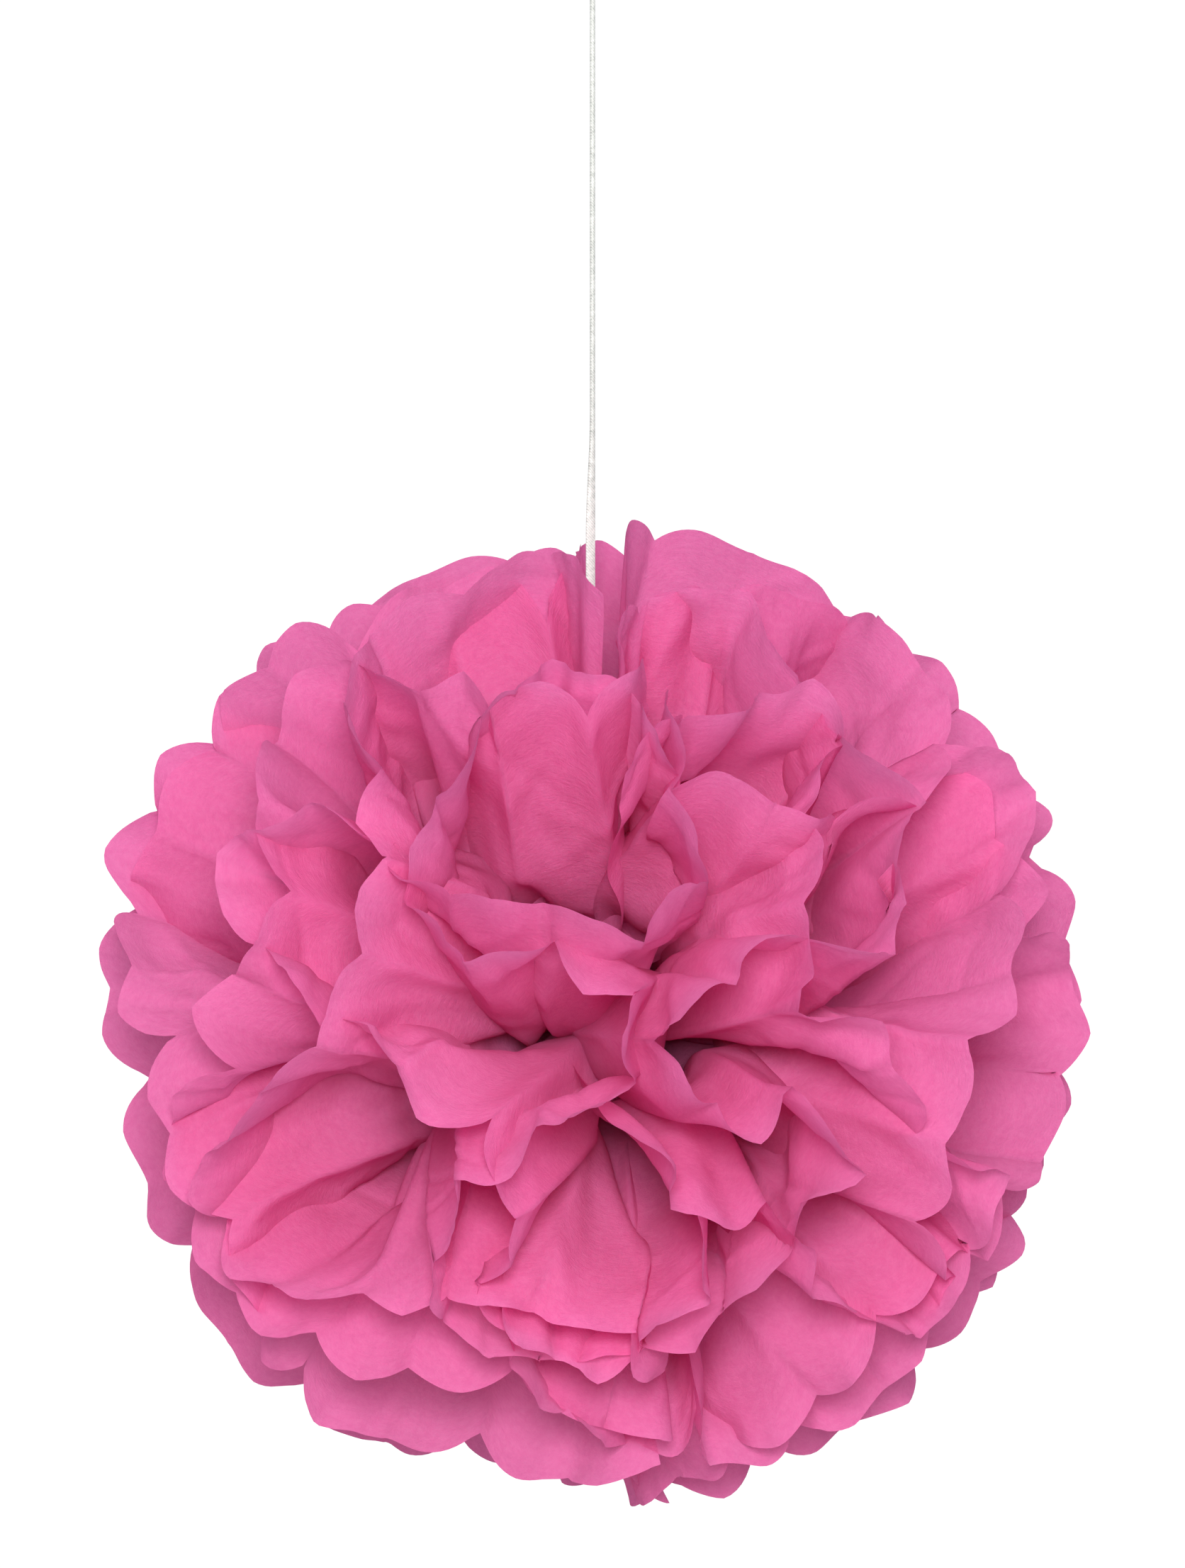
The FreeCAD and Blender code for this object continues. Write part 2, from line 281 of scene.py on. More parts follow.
def fluff(points, waves, twists, strength):
    """One touch of the hand: lifts the paper to the ball, and pushes it into petals."""
    length, out, north, east = round_ball(points)
    share = SHARE[None, :, None]
    loose = LOOSE[None, :, None]
    side = SIDE[:, None, None]
    lift = (share * BALL_RADIUS * LIFTED_SHARE - length) * LIFT
    lift *= smooth(LIFT_BEGINS, LIFT_FULL, share)
    amount = (MIDDLE_PUSH + (POLE_PUSH - MIDDLE_PUSH) * TOWARD_POLE)[:, None, None]
    push = waves[:, None, :] * amount * loose * strength
    twist = twists[:, None, :] * loose * strength * PETAL_TWIST
    # each column keeps near its own direction round the ball, each sheet near its own tier
    turn = np.arctan2(out[..., 2], side * out[..., 0])
    goal = (SPREAD_TURN * (1 - 2 * PLEAT / PLEATS))[None, None, :]
    off = (goal - turn + np.pi) % (2 * np.pi) - np.pi
    off = past(np.hypot(out[..., 0], out[..., 2]) * off, SPREAD_SLACK)
    twist = twist - side * off * SPREAD_PULL * BALL_RADIUS * loose
    drift = LATITUDE[:, None, None] - np.arcsin(np.clip(out[..., 1], -1, 1))
    push = push + past(drift, TIER_SLACK) * TIER_PULL * BALL_RADIUS * loose
    points += out * lift[..., None] + north * push[..., None] + east * twist[..., None]


def close_slots(points, top_goal, bottom_goal):
    """Draws the two ends of each fan towards the other fan's, over and under the ball."""
    top = smooth(SLOT_PLEATS, 0.0, PLEAT) * LOOSE[:, None]
    bottom = smooth(PLEATS - SLOT_PLEATS, PLEATS, PLEAT) * LOOSE[:, None]
    share = SHARE[None, :, None]
    side = SIDE[:, None, None]
    for goal, end in ((top_goal * share, top), (bottom_goal * share, bottom)):
        gap = goal - points[..., 0]
        gap = np.where(side * gap < 0, gap, 0)
        move = np.clip(gap * SLOT_PULL, -SLOT_LONGEST_MOVE, SLOT_LONGEST_MOVE)
        points[..., 0] += move * end


def hold_paper(points):
    """Paper neither stretches nor shears."""
    every = slice(None)
    outer = slice(1, None)
    for _ in range(PAPER_PASSES):
        for odd in (0, 1):
            near = (every, slice(odd, ROWS, 2))
            far = (every, slice(odd + 1, ROWS + 1, 2))
            pull(points, near, far, ROW_STEP, 1.0)
        for odd in (0, 1):
            left = (every, outer, slice(odd, COLUMNS, 2))
            right = (every, outer, slice(odd + 1, COLUMNS + 1, 2))
            pull(points, left, right, CELL_WIDTH[1:, None], 1.0)
        for odd in (0, 1):
            for half in (0, 1):
                for down in (0, 1):
                    left_rows = slice(half + down, ROWS + down, 2)
                    right_rows = slice(half + 1 - down, ROWS + 1 - down, 2)
                    left = (every, left_rows, slice(odd, COLUMNS, 2))
                    right = (every, right_rows, slice(odd + 1, COLUMNS + 1, 2))
                    pull(points, left, right, DIAGONAL[half::2, None], SHEAR_STIFFNESS)


def stiffen_paper(points):
    """Panels and petals resist bending, folds less, and each radius stays nearly straight."""
    every = slice(None)
    outer = slice(1, None)
    folds = np.arange(CELLS, COLUMNS, CELLS)
    bent = 2 * FOLD_SPREAD * CELL_WIDTH[1:, None]
    pull(points, (every, outer, folds - 1), (every, outer, folds + 1), bent, FOLD_STIFFNESS)
    across = np.where(np.arange(1, COLUMNS) % CELLS == 0, 0, PANEL_STIFFNESS)
    for start in range(3):
        left = (every, outer, slice(start, COLUMNS - 1, 3))
        right = (every, outer, slice(start + 2, COLUMNS + 1, 3))
        pull(points, left, right, 2 * CELL_WIDTH[1:, None], across[start::3], only_push=True)
    span = 3 * CELLS // 2
    half = slice(ROWS // 2, None)
    rest = PETAL_ROUNDNESS * span * CELL_WIDTH[-1]
    for start in range(2 * span):
        left = (every, half, slice(start, COLUMNS + 1 - span, 2 * span))
        right = (every, half, slice(start + span, COLUMNS + 1, 2 * span))
        pull(points, left, right, rest, PETAL_STIFFNESS, only_push=True)
    for start in range(3):
        near = (every, slice(start, ROWS - 1, 3))
        far = (every, slice(start + 2, ROWS + 1, 3))
        pull(points, near, far, 2 * ROW_STEP, SPINE_STIFFNESS, only_push=True)


class Layers:
    """Keeps layers of paper apart where they come close."""

    def __init__(self):
        fan, row, column = np.indices((FANS, ROWS + 1, COLUMNS + 1)).reshape(3, -1)
        self.fan, self.row, self.column = fan, row, column
        self.outer = np.flatnonzero(SHARE[row] >= LAYERS_MEET)
        opened = smooth(FIRM_SHARE, LAYER_GAP_FULL, SHARE)[row]
        self.room = LAYER_GAP * (LAYER_GAP_AT_WAIST + (1 - LAYER_GAP_AT_WAIST) * opened)

    def find(self, points):
        first, second = close_pairs(points.reshape(-1, 3)[self.outer], LAYER_REACH)
        first, second = self.outer[first], self.outer[second]
        joined = self.fan[first] == self.fan[second]
        joined &= np.abs(self.row[first] - self.row[second]) <= 2
        joined &= np.abs(self.column[first] - self.column[second]) <= 2
        self.first, self.second = first[~joined], second[~joined]
        self.rest = (self.room[self.first] + self.room[self.second]) / 2

    def part(self, points):
        flat = points.reshape(-1, 3)
        gap = flat[self.first] - flat[self.second]
        length = np.sqrt(np.einsum("ij,ij->i", gap, gap)) + TINY
        gap *= (np.maximum(self.rest - length, 0) / length * LAYER_FIRMNESS)[:, None]
        for axis in range(3):
            flat[:, axis] += np.bincount(self.first, gap[:, axis], len(flat))
            flat[:, axis] -= np.bincount(self.second, gap[:, axis], len(flat))


def clear_ribbon(points):
    """Keeps a slot open above the tie for the ribbon, as long as it needs when the ball nods.

    In front, where the ribbon is seen to go in, the slot is longer and wider.
    """
    high = points[..., 2]
    ahead = np.maximum(-points[..., 1], 0)
    slope = np.where(ahead > 0, FRONT_SLOPE, NOD_SLOPE)
    in_way = smooth(SLOT_EDGE, 0.0, np.abs(points[..., 1]) - slope * high - RIBBON_ROOM)
    in_way *= high > SLOT_FLOOR
    side = SIDE[:, None, None]
    room = RIBBON_ROOM + SLOT_FLARE * ahead * (side < 0)
    short = np.maximum(room - side * points[..., 0], 0)
    points[..., 0] += side * short * in_way * SLOT_OPENING


def fluffed_fans():
    """The fans of the finished ball, about its centre."""
    rng = np.random.default_rng(SEED)
    points = evenly_pleated()
    waves = petal_waves(rng)
    twists = petal_waves(rng)
    crossing = rng.uniform(*TOP_CROSSING, FANS) * (TOWARD_POLE > CROSSING_FROM)
    top_goal = (SIDE * TOP_GAP + crossing)[:, None, None]
    bottom_goal = rng.uniform(*BOTTOM_CROSSING, FANS)[:, None, None]
    layers = Layers()
    waist = points[:, 0].copy()
    last = points.copy()
    for step in range(STEPS):
        before = points.copy()
        points += MOMENTUM * (points - last)
        last = before
        fluff(points, waves, twists, PETAL_PUSH * math.exp(-TOUCHES_FADE * step / STEPS))
        close_slots(points, top_goal, bottom_goal)
        hold_paper(points)
        stiffen_paper(points)
        if step % SEARCH_EVERY == 0:
            layers.find(points)
        layers.part(points)
        clear_ribbon(points)
        points[:, 0] = waist
    return points


# ------------------------------------------------------------------ the paper's surface

SAMPLES = 16  # across one pleat
INNER_ROWS = 18
OUTER_ROWS = 70
INNER_SHARE = 0.38
FOLD_CRISPNESS = 0.75
FOLD_RISE = 0.0007
FOLD_HALF_WIDTH = 0.07  # of a pleat
CREASES = 110
CREASE_LENGTH = (0.015, 0.060)
CREASE_WIDTH = (0.003, 0.009)
CREASE_RISE = (0.0003, 0.0016)
CREASE_TURN = 0.6
CREASES_BEGIN = (0.25, 0.55)  # shares over which the dents and folds set in
TIP_CURL = 0.0052  # usual distance that half a pleat's tip is bent to one side
CURL_BEGINS = 0.84
CURL_STEEPENS = 1.7
UNCURLED_PLEATS = 3  # beside the ribbon's slot
SHALLOW_NOTCH = 0.006  # where a fold was on one edge of the folded strip
DEEP_NOTCH = 0.015  # and on its other edge
NOTCH_SPREAD = (0.5, 1.5)
NOTCH_POWER = 1.6
RIM_WAVE = (-0.007, 0.005)
RIM_WAVE_PLEATS = 1
BAND_STEPS = 4


def b_spline(control, at):
    """A cubic B-spline through the first axis of control, ending on its end points."""
    count = len(control)
    first = 2 * control[:1] - control[1:2]
    last = 2 * control[-1:] - control[-2:-1]
    full = np.concatenate([first, control, last])
    base = np.clip(at.astype(int), 0, count - 2)
    t = at - base
    weights = np.stack([(1 - t) ** 3, 3 * t**3 - 6 * t**2 + 4, -3 * t**3 + 3 * t**2 + 3 * t + 1, t**3])
    weights = weights.reshape(weights.shape + (1,) * (control.ndim - 1)) / 6
    return sum(full[base + k] * weights[k] for k in range(4))


def across_fan(points):
    """One fan's columns made finer: mostly a smooth panel between folds that stay crisp."""
    turned = np.swapaxes(points, 0, 1)
    per_cell = SAMPLES // CELLS
    soft = b_spline(turned, np.linspace(0, COLUMNS, PLEATS * SAMPLES + 1))
    crisp = np.zeros_like(soft)
    within = np.linspace(0, CELLS, CELLS * per_cell + 1)
    for k in range(PLEATS):
        panel = turned[k * CELLS : (k + 1) * CELLS + 1]
        crisp[k * SAMPLES : (k + 1) * SAMPLES + 1] = b_spline(panel, within)
    return (1 - FOLD_CRISPNESS) * soft + FOLD_CRISPNESS * crisp


def trimmed_rim(pleat, rng):
    """How much of each column is left once the pleats' ends are cut round."""
    fold = np.minimum(pleat.astype(int), PLEATS - 1)
    part = pleat - fold
    depth = np.where(np.arange(PLEATS + 1) % 2, DEEP_NOTCH, SHALLOW_NOTCH)
    depth = depth * rng.uniform(*NOTCH_SPREAD, PLEATS + 1)
    notch = depth[fold] * (1 - part) + depth[fold + 1] * part
    wobble = rng.uniform(*RIM_WAVE, PLEATS // RIM_WAVE_PLEATS + 2)
    long_wave = np.interp(pleat, np.linspace(0, PLEATS, len(wobble)), wobble)
    return 1 - (notch * np.abs(2 * part - 1) ** NOTCH_POWER - long_wave) / BALL_RADIUS


def creases(across, along, rng):
    """Small dents and ridges of handled paper, as a height over the flat sheet."""
    height = np.zeros(along.shape)
    for _ in range(CREASES):
        x = rng.uniform(0, SHEET_WIDTH)
        y = BALL_RADIUS * math.sqrt(rng.uniform(CREASES_BEGIN[0], 1))
        turn = rng.normal(math.pi / 2, CREASE_TURN)
        long = rng.uniform(*CREASE_LENGTH)
        wide = rng.uniform(*CREASE_WIDTH)
        rise = rng.choice([-1, 1]) * rng.uniform(*CREASE_RISE)
        run = (across - x) * math.cos(turn) + (along - y) * math.sin(turn)
        off = (along - y) * math.cos(turn) - (across - x) * math.sin(turn)
        tent = np.maximum(1 - np.abs(off) / wide, 0)
        height += rise * tent * np.maximum(1 - (run / long) ** 2, 0)
    return height


def tip_curl(pleat, share, rng):
    """Tips of pleats bent a little to one side or the other, as a height over the flat sheet."""
    halves = np.linspace(0, PLEATS, 2 * PLEATS + 1)
    curl = np.interp(pleat, halves, rng.normal(0, TIP_CURL, len(halves)))
    curl *= smooth(0, UNCURLED_PLEATS, pleat)
    bend = np.maximum(share - CURL_BEGINS, 0) / (1 - CURL_BEGINS)
    return curl * (bend**CURL_STEEPENS)[:, None]


def fan_surface(points, rng):
    """One fan as a fine grid of points, with how far out each lies along the paper."""
    wide = np.swapaxes(across_fan(points), 0, 1)
    pleat = np.linspace(0, PLEATS, PLEATS * SAMPLES + 1)
    inner = np.linspace(0, INNER_SHARE, INNER_ROWS, endpoint=False)
    share = np.concatenate([inner, np.linspace(INNER_SHARE, 1, OUTER_ROWS + 1)])
    reach = share[:, None] * trimmed_rim(pleat, rng)[None]
    surface = np.empty(reach.shape + (3,))
    for column in range(len(pleat)):
        surface[:, column] = b_spline(wide[:, column], reach[:, column] * ROWS)
    normal = np.cross(np.gradient(surface, axis=0), np.gradient(surface, axis=1))
    normal /= np.linalg.norm(normal, axis=-1, keepdims=True) + TINY
    to_fold = np.abs(pleat - np.round(pleat)) / FOLD_HALF_WIDTH
    ridge = FOLD_RISE * (-1.0) ** np.round(pleat) * np.maximum(1 - to_fold, 0)
    height = creases(pleat[None] * PLEAT_WIDTH, reach * BALL_RADIUS, rng) + ridge
    height *= smooth(*CREASES_BEGIN, share)[:, None]
    height += tip_curl(pleat, share, rng)
    return surface + normal * height[..., None], share


def sheet_surface(right, left, share):
    """A whole sheet as one grid, from the left rim through the waist to the right rim."""
    steps = np.linspace(0, 1, BAND_STEPS + 1)[1:-1, None, None]
    band = left[:1] * (1 - steps) + right[:1] * steps
    grid = np.concatenate([left[::-1], band, right])
    along = np.concatenate([-share[::-1], np.zeros(BAND_STEPS - 1), share])
    return grid, along


def grid_mesh(name, grid, across=None, along=None, closed=False):
    """A mesh object from a grid of points. Across and along, if given, become its UV map.

    A closed grid has its last column joined to its first.
    """
    rows, columns = grid.shape[:2]
    index = np.arange(rows * columns).reshape(rows, columns)
    if closed:
        index = np.concatenate([index, index[:, :1]], axis=1)
    corners = [index[:-1, :-1], index[:-1, 1:], index[1:, 1:], index[1:, :-1]]
    faces = np.stack(corners, axis=-1).reshape(-1, 4)
    mesh = bpy.data.meshes.new(name)
    mesh.vertices.add(rows * columns)
    mesh.vertices.foreach_set("co", grid.reshape(-1).astype(np.float32))
    mesh.loops.add(faces.size)
    mesh.loops.foreach_set("vertex_index", faces.reshape(-1))
    mesh.polygons.add(len(faces))
    mesh.polygons.foreach_set("loop_start", np.arange(0, faces.size, 4))
    mesh.polygons.foreach_set("use_smooth", np.ones(len(faces), bool))
    if across is not None:
        u, v = np.meshgrid(across, along)
        places = np.stack([u, v], axis=-1)
        corners = [places[:-1, :-1], places[:-1, 1:], places[1:, 1:], places[1:, :-1]]
        uv = np.stack(corners, axis=2)
        layer = mesh.uv_layers.new(name="flat")
        layer.data.foreach_set("uv", uv.reshape(-1).astype(np.float32))
    mesh.update(calc_edges=True)
    mesh.validate()
    piece = bpy.data.objects.new(name, mesh)
    bpy.context.scene.collection.objects.link(piece)
    return piece


def build_sheets(paper):
    fans = fluffed_fans() + np.array(BALL_CENTRE)
    across = np.linspace(0, PLEATS, PLEATS * SAMPLES + 1)
    for number in range(SHEETS):
        rng = np.random.default_rng([SEED, number])
        right, share = fan_surface(fans[2 * number], rng)
        left, share = fan_surface(fans[2 * number + 1], rng)
        grid, along = sheet_surface(right, left, share)
        pleats_along = along * BALL_RADIUS / PLEAT_WIDTH
        piece = grid_mesh(f"tissue_paper_{number + 1:02d}", grid, across, pleats_along)
        piece.data.materials.append(paper)
        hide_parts(sheet_node(number))
        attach(piece, "ball")


# ------------------------------------------------------------------ the ribbon

RING_STEP = 0.00035
FEWEST_RINGS = 8
TWIST_PITCH = 0.0021
PLIES = 3
PLY_DEPTH = 0.07
ROLLED_DEPTH = 0.8  # of its width
RIB_PITCH = 0.0009
RIB_DEPTH = 0.12
FLAT_HALF_THICKNESS = 0.00032
CORD_BOTTOM, CORD_TOP = (corner.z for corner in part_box("hanging_cord"))
FLAT_BEGINS = BALL_CENTRE.z + BALL_RADIUS - 0.012
ROLLED_ENDS = BALL_CENTRE.z + BALL_RADIUS + 0.038
GATHER_LENGTH = 0.018
LOOP_RIGHT_SIDE = [  # x and z of the loop's line, from its knot to the hook
    (0.0013, -0.0365),
    (0.0040, -0.0270),
    (0.0064, -0.0170),
    (0.0076, -0.0085),
    (0.0074, -0.0020),
    (0.0034, 0.0011),
]
STRAND_SHARE = 0.42  # of a knot's radius
KNOT_DEPTH = 1.6
KNOT_POINTS = 240
LINK_RADIUS = 0.0019
LINK_POINTS = 80
ROUTE_INSET = 0.3  # of the straight run, from each end to the route's next point
ROUTE_FINENESS = 24
RIBBON_SIDES = 28
LOOP_SIDES = 24
KNOT_SIDES = 20
SIDEWAYS = (1, 0, 0)
FORWARD = (0, 1, 0)


def route_line(points):
    """The smooth line of a route: a NURBS spline, read as points."""
    curve = bpy.data.curves.new("route", "CURVE")
    curve.dimensions = "3D"
    curve.resolution_u = ROUTE_FINENESS
    spline = curve.splines.new("NURBS")
    spline.points.add(len(points) - 1)
    for control, point in zip(spline.points, points):
        control.co = (*point, 1)
    spline.order_u = 3
    spline.use_endpoint_u = True
    holder = bpy.data.objects.new("route", curve)
    mesh = bpy.data.meshes.new_from_object(holder)
    line = np.array([vertex.co for vertex in mesh.vertices], float)
    bpy.data.objects.remove(holder)
    bpy.data.curves.remove(curve)
    bpy.data.meshes.remove(mesh)
    return line


def evenly_spaced(line, step):
    """The same line with its points a step apart, and how far along it each lies."""
    length = np.concatenate([[0], np.cumsum(np.linalg.norm(np.diff(line, axis=0), axis=1))])
    along = np.linspace(0, length[-1], max(FEWEST_RINGS, round(length[-1] / step)) + 1)
    even = np.stack([np.interp(along, length, line[:, axis]) for axis in range(3)], axis=-1)
    return even, along


def swept(name, line, section, around, width_axis=SIDEWAYS):
    """A tube along a line. The section gives each ring's points across and through it."""
    line, along = evenly_spaced(line, RING_STEP)
    ahead = np.gradient(line, axis=0)
    ahead /= np.linalg.norm(ahead, axis=1, keepdims=True)
    across = np.zeros_like(line)
    across[0] = width_axis
    for k in range(len(line)):
        before = across[max(k - 1, 0)]
        level = before - ahead[k] * (before @ ahead[k])
        across[k] = level / np.linalg.norm(level)
    through = np.cross(ahead, across)
    turn = np.linspace(0, 2 * math.pi, around, endpoint=False)
    side, depth = section(along[:, None], turn[None])
    ring = across[:, None] * side[..., None] + through[:, None] * depth[..., None]
    grid = line[:, None] + ring
    ends = [np.broadcast_to(line[k], grid[0].shape)[None] for k in (0, -1)]
    grid = np.concatenate([ends[0], grid, ends[1]])
    return grid_mesh(name, grid, closed=True), line


def rolled(along, turn, half_width=RIBBON_WIDTH / 2):
    """The section of ribbon that its own twist has rolled into a thin soft cord."""
    ridge = 1 + PLY_DEPTH * np.abs(np.sin(PLIES / 2 * turn + math.pi * along / TWIST_PITCH))
    reach = half_width * ridge / (1 + PLY_DEPTH)
    return reach * np.cos(turn), ROLLED_DEPTH * reach * np.sin(turn)


def ribbon_section(along, turn):
    """Rolled above the ball, a flat woven band where it goes in between the petals."""
    height = CORD_BOTTOM + along
    flat = smooth(ROLLED_ENDS, FLAT_BEGINS, height) * smooth(0, GATHER_LENGTH, along)
    side, depth = rolled(along, turn)
    rib = 1 + RIB_DEPTH * np.abs(np.sin(math.pi * along / RIB_PITCH))
    flat_side = FLAT_RIBBON_WIDTH / 2 * np.cos(turn) - (FLAT_RIBBON_WIDTH - RIBBON_WIDTH) / 2
    flat_depth = FLAT_HALF_THICKNESS * np.sin(turn) * rib
    return side * (1 - flat) + flat_side * flat, depth * (1 - flat) + flat_depth * flat


def build_ribbon(cloth):
    """The straight run of ribbon, its knots at both ends, and the loop that goes on a hook."""
    foot = (0, 0, CORD_BOTTOM)
    head = (0, 0, CORD_TOP)
    span = CORD_TOP - CORD_BOTTOM
    inset = span * ROUTE_INSET
    route = [foot, (0, 0, CORD_BOTTOM + inset), (0, 0, CORD_TOP - inset), head]
    ribbon, line = swept("ribbon", route_line(route), ribbon_section, RIBBON_SIDES)
    ribbon.data.materials.append(cloth)
    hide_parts("hanging_cord")
    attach(ribbon, "cord")

    low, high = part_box("loop_knot")
    upper_knot = knot("loop_knot_tied", middle("loop_knot"), (high.x - low.x) / 2, cloth)
    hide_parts("loop_knot")
    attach(upper_knot, "upper_knot")

    lower_knot = link_knot("tie_knot", cloth)
    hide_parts("cord_knot")
    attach(lower_knot, "lower_knot")

    left_side = [(-x, 0, z) for x, z in LOOP_RIGHT_SIDE]
    right_side = [(x, 0, z) for x, z in reversed(LOOP_RIGHT_SIDE)]
    loop_route = left_side + right_side
    loop, line = swept("loop", route_line(loop_route), rolled, LOOP_SIDES, FORWARD)
    loop.data.materials.append(cloth)
    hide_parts("hanging_loop")
    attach(loop, "loop")


def overhand(radius, strand):
    """The line of a tight overhand knot, a trefoil, that fills a ball of this radius."""
    turn = np.linspace(0, 2 * math.pi, KNOT_POINTS)
    line = np.stack(
        [
            np.sin(turn) + 2 * np.sin(2 * turn),
            np.cos(turn) - 2 * np.cos(2 * turn),
            -KNOT_DEPTH * np.sin(3 * turn),
        ],
        axis=-1,
    )
    return line / 3 * (radius - strand)


def knot(name, centre, radius, cloth):
    strand = STRAND_SHARE * radius

    def strand_section(along, turn):
        return rolled(along, turn, half_width=strand)

    line = overhand(radius, strand)[:, [0, 2, 1]] + np.array(centre)
    piece, _ = swept(name, line, strand_section, KNOT_SIDES, FORWARD)
    piece.data.materials.append(cloth)
    return piece


def link_knot(name, cloth):
    """The knot in the ball: an overhand knot over the small link that goes through the eye."""
    low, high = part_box("cord_knot")
    radius = (high.y - low.y) / 2
    centre = Vector((0, 0, high.z - radius))
    link_centre = low.z + LINK_RADIUS + RIBBON_WIDTH / 2
    turn = np.linspace(0, 2 * math.pi, LINK_POINTS)
    x = LINK_RADIUS * np.sin(turn)
    z = link_centre + LINK_RADIUS * np.cos(turn)
    link = np.stack([x, 0 * turn, z], axis=-1)
    ring, _ = swept(f"{name}_link", link, rolled, KNOT_SIDES, FORWARD)
    ring.data.materials.append(cloth)
    piece = knot(name, centre, radius, cloth)
    ring.parent = piece
    return piece


# ------------------------------------------------------------------ materials

TISSUE_DARK = (0.80, 0.17, 0.43)
TISSUE_LIGHT = (0.86, 0.20, 0.475)
TISSUE_STREAK = (0.76, 0.15, 0.41)
TISSUE_FLECK = (0.90, 0.25, 0.53)
TISSUE_GLOW = (0.87, 0.26, 0.55)  # of the light that comes through
LIGHT_THROUGH = 0.55  # of all the light on it
FLECKS_SHOW = 0.65
WRINKLE_DEPTH = 0.0042
# the ribbon's own grey-green tone, darker and lighter at random by a mottle
RIBBON_DARK_MOTTLE = (0.27, 0.29, 0.27)
RIBBON_LIGHT_MOTTLE = (0.50, 0.52, 0.49)
# painted highlight: a paler grey laid along the ribbon's slanting threads
RIBBON_THREAD_HIGHLIGHT = (0.70, 0.71, 0.69)
THREAD_DEPTH = 0.0001
ENAMEL = (0.80, 0.80, 0.79)
SCUFFED_ENAMEL = (0.55, 0.55, 0.54)
SCUFF_DEPTH = 0.0001
FLOOR_DARK = (0.70, 0.68, 0.64)
FLOOR_LIGHT = (0.72, 0.70, 0.66)
BLACK = (0, 0, 0)


class Nodes:
    """A material with its node tree, and a short way to add and join nodes."""

    def __init__(self, name):
        self.material = bpy.data.materials.new(name)
        self.material.use_nodes = True
        self.tree = self.material.node_tree
        self.tree.nodes.clear()

    def add(self, kind, settings=None, **inputs):
        node = self.tree.nodes.new(kind)
        for key, value in (settings or {}).items():
            setattr(node, key, value)
        for key, value in inputs.items():
            socket = node.inputs[key.replace("_", " ")]
            self.feed(socket, value)
        return node

    def feed(self, socket, value):
        """Joins another node's output to this input, or sets the input to a plain value."""
        if isinstance(value, bpy.types.NodeSocket):
            self.tree.links.new(value, socket)
        else:
            socket.default_value = value

    def ramp(self, factor, stops):
        node = self.add("ShaderNodeValToRGB", Fac=factor)
        for element, (place, colour) in zip(node.color_ramp.elements, stops):
            element.position = place
            element.color = (*colour, 1)
        return node.outputs["Color"]

    def math(self, operation, first, second=0.0):
        node = self.tree.nodes.new("ShaderNodeMath")
        node.operation = operation
        self.feed(node.inputs[0], first)
        self.feed(node.inputs[1], second)
        return node.outputs["Value"]

    def noise(self, vector, scale, detail=2.0, roughness=0.5):
        node = self.add(
            "ShaderNodeTexNoise", Vector=vector, Scale=scale, Detail=detail, Roughness=roughness
        )
        return node.outputs["Fac"]

    def stretched(self, vector, scale):
        return self.add("ShaderNodeMapping", Vector=vector, Scale=scale).outputs["Vector"]

    def mixed(self, factor, first, second):
        """Goes from the first colour to the second, a plain one, as factor goes from 0 to 1."""
        node = self.add("ShaderNodeMix", {"data_type": "RGBA"})
        self.feed(node.inputs[0], factor)
        self.feed(node.inputs[6], first)
        self.feed(node.inputs[7], (*second, 1))
        return node.outputs[2]

    def bump(self, strength, distance, height):
        node = self.add("ShaderNodeBump", Strength=strength, Distance=distance, Height=height)
        return node.outputs["Normal"]

    def finish(self, shader):
        output = self.tree.nodes.new("ShaderNodeOutputMaterial")
        self.tree.links.new(shader, output.inputs["Surface"])
        return self.material


def tissue_paper():
    """Thin dyed tissue: a cloudy make with fibres in it, soft wrinkles, and light through it."""
    nodes = Nodes("tissue_paper")
    flat = nodes.add("ShaderNodeUVMap", {"uv_map": "flat"}).outputs["UV"]
    clouds = nodes.noise(flat, 1.6, detail=5, roughness=0.6)
    flecks = nodes.noise(flat, 13, detail=5, roughness=0.85)
    fibres = nodes.noise(nodes.stretched(flat, (5, 34, 1)), 1, detail=4, roughness=0.7)
    wrinkle = nodes.add(
        "ShaderNodeTexNoise",
        {"noise_type": "RIDGED_MULTIFRACTAL", "normalize": True},
        Vector=nodes.stretched(flat, (1.5, 0.7, 1)),
        Scale=1.3,
        Detail=3.0,
        Roughness=0.5,
    ).outputs["Fac"]

    cloudy = nodes.ramp(clouds, ((0.3, TISSUE_DARK), (0.7, TISSUE_LIGHT)))
    streaked = nodes.mixed(nodes.math("MULTIPLY", fibres, 0.45), cloudy, TISSUE_STREAK)
    fleck = nodes.ramp(flecks, ((0.40, BLACK), (0.62, (FLECKS_SHOW,) * 3)))
    flecked = nodes.mixed(fleck, streaked, TISSUE_FLECK)

    height = nodes.math("ADD", wrinkle, nodes.math("MULTIPLY", fibres, 0.08))
    height = nodes.math("ADD", height, nodes.math("MULTIPLY", flecks, 0.16))
    bump = nodes.bump(0.8, WRINKLE_DEPTH, height)

    paper = nodes.add("ShaderNodeBsdfPrincipled", Base_Color=flecked, Roughness=0.9, Normal=bump)
    paper.inputs["Specular IOR Level"].default_value = 0.1
    glow = nodes.mixed(0.5, flecked, TISSUE_GLOW)
    through = nodes.add("ShaderNodeBsdfTranslucent", Color=glow, Normal=bump)
    mix = nodes.tree.nodes.new("ShaderNodeMixShader")
    mix.inputs["Fac"].default_value = LIGHT_THROUGH
    nodes.tree.links.new(paper.outputs["BSDF"], mix.inputs[1])
    nodes.tree.links.new(through.outputs["BSDF"], mix.inputs[2])
    return nodes.finish(mix.outputs["Shader"])


